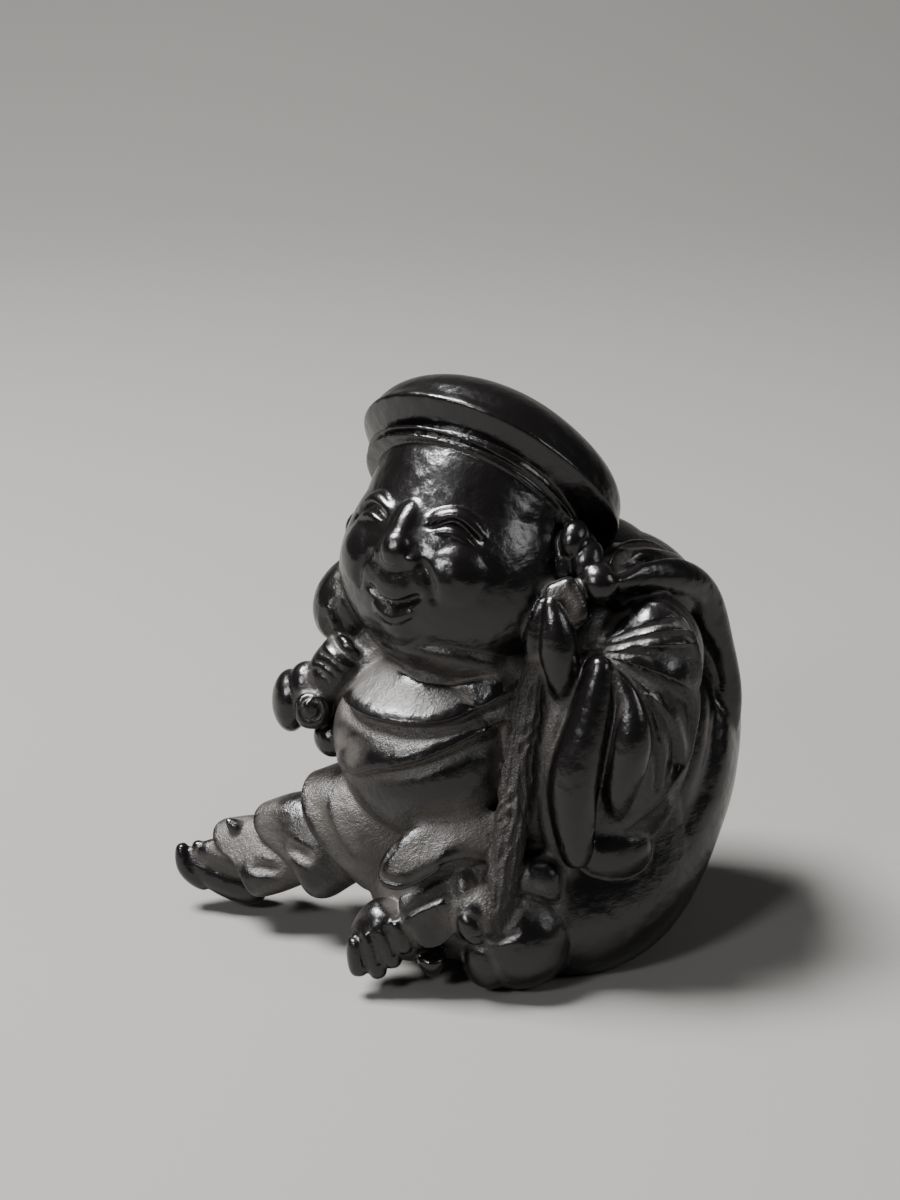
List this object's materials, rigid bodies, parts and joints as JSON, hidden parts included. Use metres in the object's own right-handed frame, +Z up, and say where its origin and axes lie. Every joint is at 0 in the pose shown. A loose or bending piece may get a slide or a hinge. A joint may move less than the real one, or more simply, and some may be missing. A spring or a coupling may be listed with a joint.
{
  "type": "daikoku figure",
  "caption": "Small carved dark wood figure of a laughing lucky god in a soft cap, seated with one leg stretched out and leaning back on a large round sack gripped over the shoulder.",
  "frame": {"origin": "centre of the bounding box on the standing plane", "axes": "+Z up, the figure's body faces -Y, its left hand and the gripped sack neck are on the +X side, the stretched leg points to -X"},
  "size_m": [0.0336, 0.032, 0.041],
  "materials": {
    "dark_wood": "near-black close-grained hardwood, hand polished on the high places, dull brown-grey and dusty in the cuts"
  },
  "bodies": {
    "root": {"daikoku_figure": "dark_wood"}
  },
  "joints": []
}
